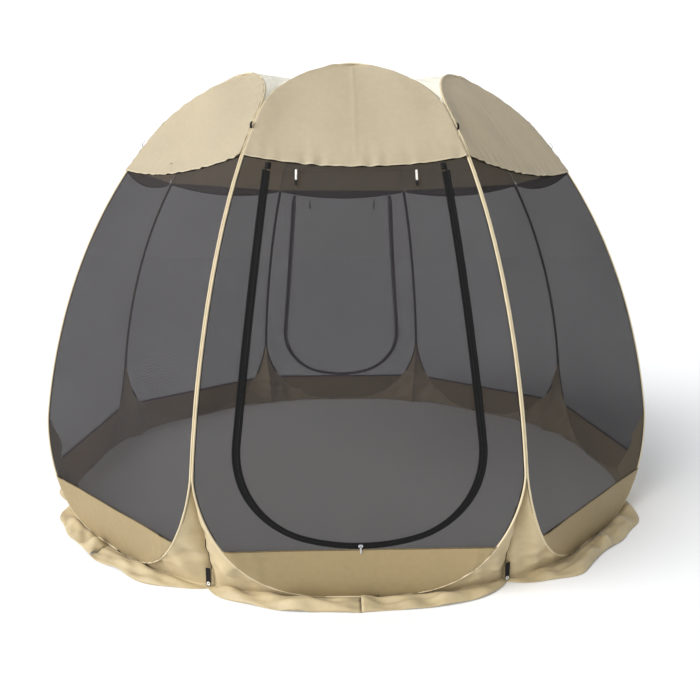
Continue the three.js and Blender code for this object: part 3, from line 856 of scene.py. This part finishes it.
def slot_loop(angle, u, s_top):
    """A strap folded into a long narrow loop, seen from the side."""
    radius = TIE_SLOT_R + TIE_T / 2
    top = np.linspace(0, math.pi, 13)
    low = np.linspace(math.pi, math.tau, 13)
    d = TIE_D + np.concatenate([radius * np.cos(top), radius * np.cos(low)])
    s = s_top + np.concatenate([radius * np.sin(top), radius * np.sin(low) - TIE_L])
    across = np.linspace(-TIE_W / 2, TIE_W / 2, 4)
    points = on_panel(angle, u + across[None, :], s[:, None], d[:, None])
    return grid(points, wrap_rows=True)


def toggle_outlines():
    """A flat tab, rounded at its foot, with a slot under the bar that the strap goes round."""
    half, bar = TOGGLE_W / 2, TOGGLE_BAR / 2
    slot = TIE_W / 2 + TOGGLE_CLEAR
    foot = half + bar - TOGGLE_L
    edge = [(half, bar), (-half, bar), *circle(0, foot, half, math.pi, math.tau, 17)]
    low = -bar - TOGGLE_SLOT_H
    return [edge, [(-slot, -bar), (slot, -bar), (slot, low), (-slot, low)]]


def add_ties(side, angle):
    s_top = length_at(HINGE_Z) - TIE_DROP
    for hand, word in ((-1, "left"), (1, "right")):
        name = f"{side}_door_{word}_tie"
        loop = [slot_loop(angle, hand * TIE_U, s_top)]
        add_piece(f"{name}_strap", loop, name, ELASTIC, TIE_T * 0.9, [f"{name}_loop"])
        place = panel_place(angle, hand * TIE_U, s_top - TIE_L, TIE_D)
        replaced = [f"{name}_toggle"]
        plate(f"{name}_tab", toggle_outlines(), TOGGLE_T, place, name, TOGGLE, replaced)


def finish_metal(side):
    """The zip's slider and pull stay as the CAD made them, with softened edges."""
    for node in (f"{side}_zip_slider", f"{side}_zip_pull"):
        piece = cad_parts[node]
        piece.data.materials.clear()
        piece.data.materials.append(METAL)
        soft = piece.modifiers.new("edges", "BEVEL")
        soft.width = 0.0003
        soft.segments = 2


# ---- Ground skirt, corner webs and roof crown ----


def laid_rows(corner_points, counts, rounds):
    """Rows between three lines of points, with the bend in the middle smoothed."""
    first, bend, last = corner_points
    upper = np.linspace(0, 1, counts[0], endpoint=False)[:, None, None]
    lower = np.linspace(0, 1, counts[1])[:, None, None]
    rows = np.concatenate([first + (bend - first) * upper, bend + (last - bend) * lower])
    for _ in range(rounds):
        rows[1:-1] = (rows[:-2] + 2 * rows[1:-1] + rows[2:]) / 4
    return rows


SKIRT_EARS = ((33, 0.045, 3.5), (56, 0.022, 4.0), (-62, 0.016, 3.0), (118, 0.030, 4.0), (-140, 0.035, 4.5))


def skirt_edge(direction, corner_share):
    """The skirt's cut edge: in at each corner, and uneven where it lies as it fell."""
    radius = SKIRT_EDGE_R - 0.012 - SKIRT_NOTCH * corner_share**SCALLOP_POWER
    radius += 0.010 * ripples(direction * 1.7, 0 * direction, 0.30, 71)
    for degrees, extra, spread in SKIRT_EARS:
        turn = (np.degrees(direction) - degrees + 180) % 360 - 180
        radius += extra * np.exp(-((turn / spread) ** 2))
    return radius


def skirt_lines(direction, off_middle):
    """The skirt's top along the hoops' sleeves, its bend at the ground and its cut edge."""
    share = off_middle / SEAM_ANGLE
    s = edge_length(np.linspace(0, LOWER_SPLIT, SPLIT_STEPS), off_middle)
    top_r = out_at(s) / np.cos(off_middle)
    foot_r = top_r - CORNER_TUCK * share**2 + FOOT_OUT
    top = at_polar(direction, top_r, np.maximum(0.0035, height_at(s) - 0.002))
    foot = at_polar(direction, foot_r, GROUND_CLEAR)
    edge = at_polar(direction, skirt_edge(direction, share), GROUND_CLEAR)
    return top, foot, edge


def web_folds(index, turn, arc, row, height):
    """How far out the skirt stands off its even shape: soft folds, calm by the tab, and a rounded corner."""
    middle = np.sin(math.pi * row)
    folds = WEB_FOLD_H * ripples(arc + 0.4 * height, height * 0.6, WEB_FOLD_L, 700 + index)
    folds *= middle * smooth(height / 0.10)
    creases = WEB_CREASE_H * ripples(arc * 0.4, height, WEB_CREASE_L, 780 + index)
    folds += creases * middle * smooth(height / 0.06)
    rounding = WEB_ROUNDING * middle * np.exp(-((turn / WEB_ROUNDING_HALF) ** 2)) * smooth(height / 0.08)
    by_tab = np.exp(-((turn / CALM_HALF) ** 2)) * np.exp(-((height / CALM_Z) ** 2))
    return folds * (1 - CALM_BY_TAB * by_tab) - rounding


def flap_relief(index, arc, radius, out_share):
    """How high the skirt's flap stands off the ground: swells, a lifted edge and creases."""
    across = np.sin(math.pi * out_share)
    swell = SWELL_H * (1 + ripples(arc, radius * 0.8, SWELL_L, 720 + index)) * across**0.8
    lift = EDGE_LIFT_H * np.clip(ripples(arc, 0 * arc, EDGE_LIFT_L, 740), 0, 1)
    lift = lift * smooth(out_share * 1.5 - 0.5)
    creases = FLAP_CREASE_H * (1 + ripples(arc * 0.4, radius * 1.2, FLAP_CREASE_L, 760 + index))
    return swell + lift + creases * across**0.5


def add_corner_seam(index, corner, radius, height):
    """The dark seam in the lower half of a web, along the skirt's middle column."""
    seam_line = at_polar(corner, radius + 0.0012, height)
    side = np.array([math.cos(corner), math.sin(corner), 0])
    ridge = seam_line[:, None, :] + side * (np.array([-1, 0, 1]) * CORNER_SEAM_HALF)[None, :, None]
    ridge[:, 1] += at_polar(corner, 0.0010, 0)
    return add_piece(f"corner_seam_{index + 1}", [grid(ridge)], "tent", BINDING, SEAM_T)


def add_skirt(index):
    """One corner of the skirt: the web up between two hoops, and the flap on the ground to each side."""
    corner = (index + 0.5) * SIDE_ANGLE
    x = np.linspace(-1, 1, 161)
    turn = SEAM_ANGLE * x * np.abs(x) ** 0.6
    off_middle = SEAM_ANGLE - np.abs(turn)
    top, foot, edge = skirt_lines(corner + turn, off_middle)
    rows = laid_rows((top, foot, edge), (30, 26), 14)
    even_z = rows[..., 2]
    row = np.linspace(0, 1, len(rows))[:, None]
    arc = (corner + turn)[None, :] * SKIRT_MEAN_R
    radius = np.hypot(rows[..., 0], rows[..., 1]) + web_folds(index, turn[None, :], arc, row, even_z)
    foot_r, edge_r = (np.hypot(points[:, 0], points[:, 1]) for points in (foot, edge))
    out_share = np.clip((radius - foot_r) / np.maximum(edge_r - foot_r, 0.02), 0, 1)
    clear = 1 - 0.85 * (off_middle / SEAM_ANGLE) ** 5
    height = np.maximum(even_z + flap_relief(index, arc, radius, out_share) * clear, 0.0012)
    points = at_polar(corner + turn[None, :], radius, height)[::-1]
    node = ["ground_skirt"] if index == 0 else []
    name = f"skirt_corner_{index + 1}"
    skirt = add_piece(name, [grid(points)], "tent", SKIRT, CLOTH_T, node)
    middle = len(x) // 2
    low = np.flatnonzero((even_z[:, middle] > CORNER_SEAM_Z[0]) & (even_z[:, middle] < CORNER_SEAM_Z[1]))
    seam = add_corner_seam(index, corner, radius[low, middle], height[low, middle])


def add_crown():
    """The roof crown: a nearly level middle, and a gusset down between each pair of hoop heads."""
    x = np.linspace(-1, 1, 61)[:-1]
    turns = [index * SIDE_ANGLE + SEAM_ANGLE * np.sin(x * math.pi / 2) for index in range(len(SIDES))]
    turns = np.concatenate(turns)
    off_middle = np.abs((turns / SIDE_ANGLE) - np.round(turns / SIDE_ANGLE)) * SIDE_ANGLE
    share = off_middle / SEAM_ANGLE
    s = edge_length(np.linspace(PANEL_L, UPPER_SPLIT, SPLIT_STEPS), off_middle)
    edge_r = out_at(s) / np.cos(off_middle) - 0.003
    flat_r = (HEAD[0] - CROWN_BORDER) * math.cos(SEAM_ANGLE) / np.cos(SEAM_ANGLE - off_middle)
    middle = at_polar(turns, 0.02 + 0 * turns, HEAD[1] - CROWN_SAG)
    along_side = 1 - np.tan(SEAM_ANGLE - off_middle) / math.tan(SEAM_ANGLE)
    flat = at_polar(turns, flat_r, HEAD[1] - CROWN_SIDE_DIP * along_side)
    edge = at_polar(turns, edge_r, height_at(s))
    rows = laid_rows((middle, flat, edge), (26, 34), 16)
    radius = np.hypot(rows[..., 0], rows[..., 1])
    beyond = np.clip((radius - flat_r) / np.maximum(edge_r - flat_r, 0.02), 0, 1)
    frills = FRILL_H * share * np.sin(math.pi * beyond) * ripples(turns * 0.95, 0.2 * radius, FRILL_L, 811)
    gathers = CROWN_GATHER_H * smooth(share * 3) * ripples(turns, radius, CROWN_GATHER_L, 812)
    gathers *= 4 * beyond**3 * (1 - beyond)
    slow = -CROWN_WAVE_H * (1 + ripples(rows[..., 0], rows[..., 1], CROWN_WAVE_L, 813))
    slow *= smooth(radius / 0.2) * (1 - beyond) ** 2
    points = rows.copy()
    points[..., 2] += frills + gathers + slow
    hub = np.repeat(points[:1].mean(axis=1, keepdims=True), points.shape[1], axis=1)
    points = np.concatenate([hub + (points[:1] - hub) * 0.05, points])[:, ::-1]
    shells = [grid(points, wrap_columns=True)]
    crown = add_piece("crown", shells, "tent", CROWN, CLOTH_T, ["roof_crown"])


# ---- Small fittings ----


def ribbon(centres, side, width):
    """A strap along a line of points, as wide as width in the direction side."""
    across = np.linspace(-width / 2, width / 2, 4)
    return grid(centres[:, None, :] + np.asarray(side)[None, None, :] * across[None, :, None])


def add_guy_loops():
    """A small webbing loop on each upper seam, for a guy line."""
    straps = []
    s = length_at(GUY_LOOP_Z)
    r = out_at(s) / math.cos(SEAM_ANGLE)
    bend = np.linspace(-0.5 * math.pi, 0.5 * math.pi, 15)
    for index in range(len(SIDES)):
        corner = (index + 0.5) * SIDE_ANGLE
        out = r + 0.004 + 0.015 * np.cos(bend)
        up = GUY_LOOP_Z + 0.016 * np.sin(bend) - 0.004 * np.cos(bend)
        side = (math.cos(corner), math.sin(corner), 0)
        straps.append(ribbon(at_polar(corner, out, up), side, 0.011))
    add_piece("guy_loops", straps, "tent", WEBBING, 0.0013)


def plate(name, outlines, thickness, place, body, material, replaced):
    """A flat plate with holes and softened edges, from outlines in its own plane."""
    curve = bpy.data.curves.new(name, "CURVE")
    curve.dimensions = "2D"
    curve.fill_mode = "BOTH"
    curve.bevel_depth = thickness * 0.22
    curve.bevel_resolution = 2
    curve.extrude = thickness / 2 - curve.bevel_depth
    curve.offset = -curve.bevel_depth
    for outline in outlines:
        spline = curve.splines.new("POLY")
        spline.points.add(len(outline) - 1)
        spline.use_cyclic_u = True
        for point, (x, y) in zip(spline.points, outline):
            point.co = (x, y, 0, 1)
    flat = bpy.data.objects.new(name, curve)
    mesh = bpy.data.meshes.new_from_object(flat)
    bpy.data.objects.remove(flat)
    piece = bpy.data.objects.new(name, mesh)
    bpy.context.collection.objects.link(piece)
    piece.matrix_world = place
    ride(piece, body, material)
    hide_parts(*replaced)


def circle(x, y, radius, start=0.0, end=math.tau, steps=32):
    turn = np.linspace(start, end, steps, endpoint=end - start < math.tau - 1e-6)
    return list(zip(x + radius * np.cos(turn), y + radius * np.sin(turn)))


def panel_place(angle, u, s, d):
    """The place of a plate that lies along a panel and faces out from it."""
    origin = on_panel(angle, u, s, d)
    up = on_panel(angle, u, s + NUDGE, d) - origin
    up /= np.linalg.norm(up)
    side = np.array([math.cos(angle), math.sin(angle), 0])
    rows = np.stack([side, up, np.cross(side, up), origin], axis=1)
    return Matrix([*rows.tolist(), (0, 0, 0, 1)])


def upright(direction, r, z):
    """The place of a plate that stands upright and faces out."""
    out = at_polar(direction, 1.0, 0)
    side = (math.cos(direction), math.sin(direction), 0)
    rows = [(side[i], float(i == 2), out[i], (out * r)[i] + (z if i == 2 else 0)) for i in range(3)]
    return Matrix([*rows, (0, 0, 0, 1)])


def ring_points(place, radius, thickness, steps=28, facets=10):
    """A round ring in a plate's plane."""
    a, b = np.linspace(0, math.tau, steps, endpoint=False), np.linspace(0, math.tau, facets, endpoint=False)
    reach_out = radius + thickness * np.cos(b)[None, :]
    local = np.stack(
        np.broadcast_arrays(
            reach_out * np.cos(a)[:, None], reach_out * np.sin(a)[:, None], thickness * np.sin(b)[None, :]
        ),
        axis=-1,
    )
    matrix = np.array(place)
    return grid(local @ matrix[:3, :3].T + matrix[:3, 3], wrap_rows=True, wrap_columns=True)


def add_stake_tab(index):
    """Webbing with an eye near its foot and a pale ring set in the eye."""
    corner = (index + 0.5) * SIDE_ANGLE
    body = f"tab_{index + 1}"
    half = TAB_W / 2
    eye_y = half - TAB_L
    outline = [(half, 0), (-half, 0), *circle(0, eye_y, half, math.pi, math.tau, 17)]
    place = upright(corner, TAB_R, TAB_TOP_Z)
    name = f"stake_tab_{index + 1}"
    outlines = [outline, circle(0, eye_y, TAB_EYE_R)[::-1]]
    plate(f"{name}_strap", outlines, TAB_T * 0.8, place, body, WEBBING, [name])
    ring = ring_points(place @ Matrix.Translation((0, eye_y, 0)), TAB_EYE_R + 0.001, 0.0021)
    add_piece(f"{name}_ring", [ring], body, RING)


# ---- Assembly ----


def build_house():
    thread = []
    for index, side in enumerate(SIDES):
        angle = index * SIDE_ANGLE
        sleeve = add_hoop(index, side, angle)
        relief, hem_path = add_canopy(index, side, angle)
        thread.append(stitches(angle, hem_path, relief))
        add_band(index, side, angle)
        if side in DOOR_SIDES:
            add_door_wall(index, side, angle)
            body = f"{side}_door"
            add_zip(side, angle, body)
            add_leaf(index, side, angle, body)
            add_header_zip(side, angle)
            add_ties(side, angle)
            finish_metal(side)
        else:
            add_plain_wall(index, side, angle)
        add_skirt(index)
        add_stake_tab(index)
    add_crown()
    add_inner_tapes()
    add_sleeve_flaps()
    add_guy_loops()
    add_piece("hem_stitches", thread, "tent", THREAD)


# ---- Camera, floor and light ----


def add_camera():
    camera = bpy.data.objects.new("camera", bpy.data.cameras.new("camera"))
    bpy.context.collection.objects.link(camera)
    camera.data.lens = CAMERA_LENS
    camera.location = CAMERA_PLACE
    camera.rotation_euler = (CAMERA_UP, 0, CAMERA_TURN)
    bpy.context.scene.camera = camera


def add_floor():
    bpy.ops.mesh.primitive_plane_add(size=FLOOR_SIZE, location=(0, 0, FLOOR_Z))
    floor = bpy.context.object
    floor.name = "floor"
    paint = Paint("floor_paper", Emission_Color=(1, 1, 1, 1), Emission_Strength=0.08)
    tone = paint.mix(paint.noise(0.4, 2), (0.83, 0.83, 0.83, 1), (0.85, 0.85, 0.85, 1))
    floor.data.materials.append(paint.show(tone, 0.9))


def add_light():
    world = bpy.data.worlds.new("studio")
    bpy.context.scene.world = world
    world.use_nodes = True
    nodes, links = world.node_tree.nodes, world.node_tree.links
    light = nodes["Background"]
    light.inputs["Color"].default_value = SKY_COLOUR
    light.inputs["Strength"].default_value = SKY_STRENGTH
    backdrop = nodes.new("ShaderNodeBackground")
    backdrop.inputs["Color"].default_value = (1, 1, 1, 1)
    backdrop.inputs["Strength"].default_value = BACKDROP_STRENGTH
    seen = nodes.new("ShaderNodeLightPath")
    both = nodes.new("ShaderNodeMixShader")
    links.new(seen.outputs["Is Camera Ray"], both.inputs[0])
    links.new(light.outputs[0], both.inputs[1])
    links.new(backdrop.outputs[0], both.inputs[2])
    links.new(both.outputs[0], nodes["World Output"].inputs["Surface"])
    key = bpy.data.objects.new("key", bpy.data.lights.new("key", "SUN"))
    bpy.context.collection.objects.link(key)
    key.data.energy = KEY_STRENGTH
    key.data.angle = KEY_ANGLE
    key.rotation_euler = KEY_TURN
    bpy.context.scene.view_settings.view_transform = "Standard"


add_camera()
add_floor()
add_light()
build_house()
